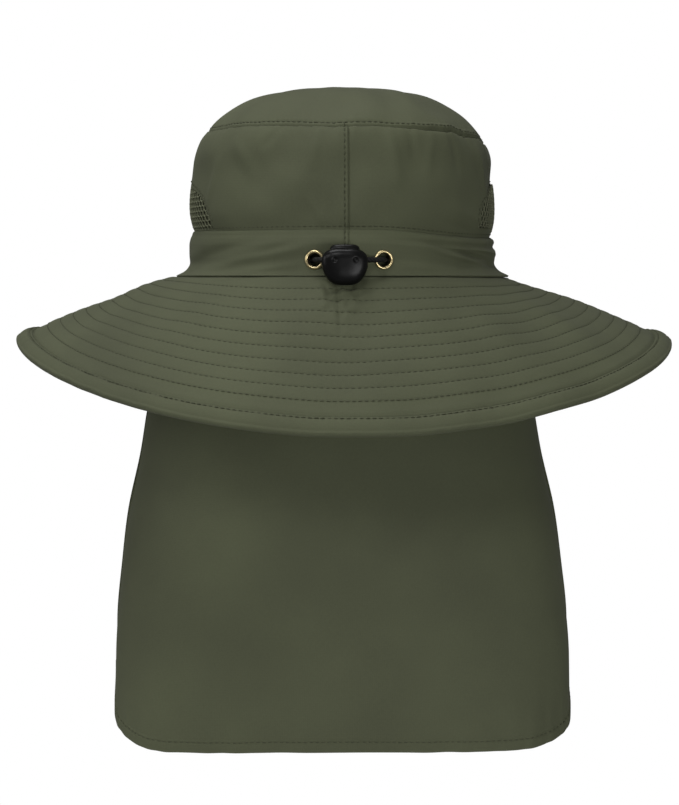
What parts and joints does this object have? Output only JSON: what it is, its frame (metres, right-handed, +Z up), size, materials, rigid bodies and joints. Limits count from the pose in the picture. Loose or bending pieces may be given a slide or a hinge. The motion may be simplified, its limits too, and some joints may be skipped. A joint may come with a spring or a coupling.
{
  "type": "flap sun hat",
  "caption": "Wide-brimmed cloth sun hat with a soft crown, vent mesh in its sides, a drawcord band with a spring cord lock, and a long neck flap.",
  "frame": {"origin": "middle of the head opening, level with the seam between crown and brim", "axes": "+Z up through the crown, -Y towards the back of the head where the flap and cord lock are, +Y towards the face, +X to the wearer's right"},
  "size_m": [0.3807, 0.3672, 0.3656],
  "materials": {
    "shell_fabric": "olive green woven polyester, matt with a slight sheen",
    "vent_mesh": "olive green knitted mesh with small holes",
    "eyelet_brass": "plated, pressed brass",
    "elastic_cord": "black braided elastic cord",
    "black_plastic": "black moulded plastic, satin"
  },
  "bodies": {
    "hat": {"crown_top": "shell_fabric", "crown_side": "shell_fabric", "mesh_panel_left": "vent_mesh", "mesh_panel_right": "vent_mesh", "band": "shell_fabric", "brim": "shell_fabric", "brim_binding": "shell_fabric", "neck_flap": "shell_fabric", "eyelet_left": "eyelet_brass", "eyelet_right": "eyelet_brass", "draw_cord": "elastic_cord", "cord_lock_body": "black_plastic"},
    "button": {"cord_lock_button": "black_plastic"}
  },
  "joints": [
    {"name": "button_press", "type": "slide", "parent": "hat", "child": "button", "axis": [0, 0, -1], "range_m": [0, 0.0028], "stiffness_N_per_m": 600}
  ]
}
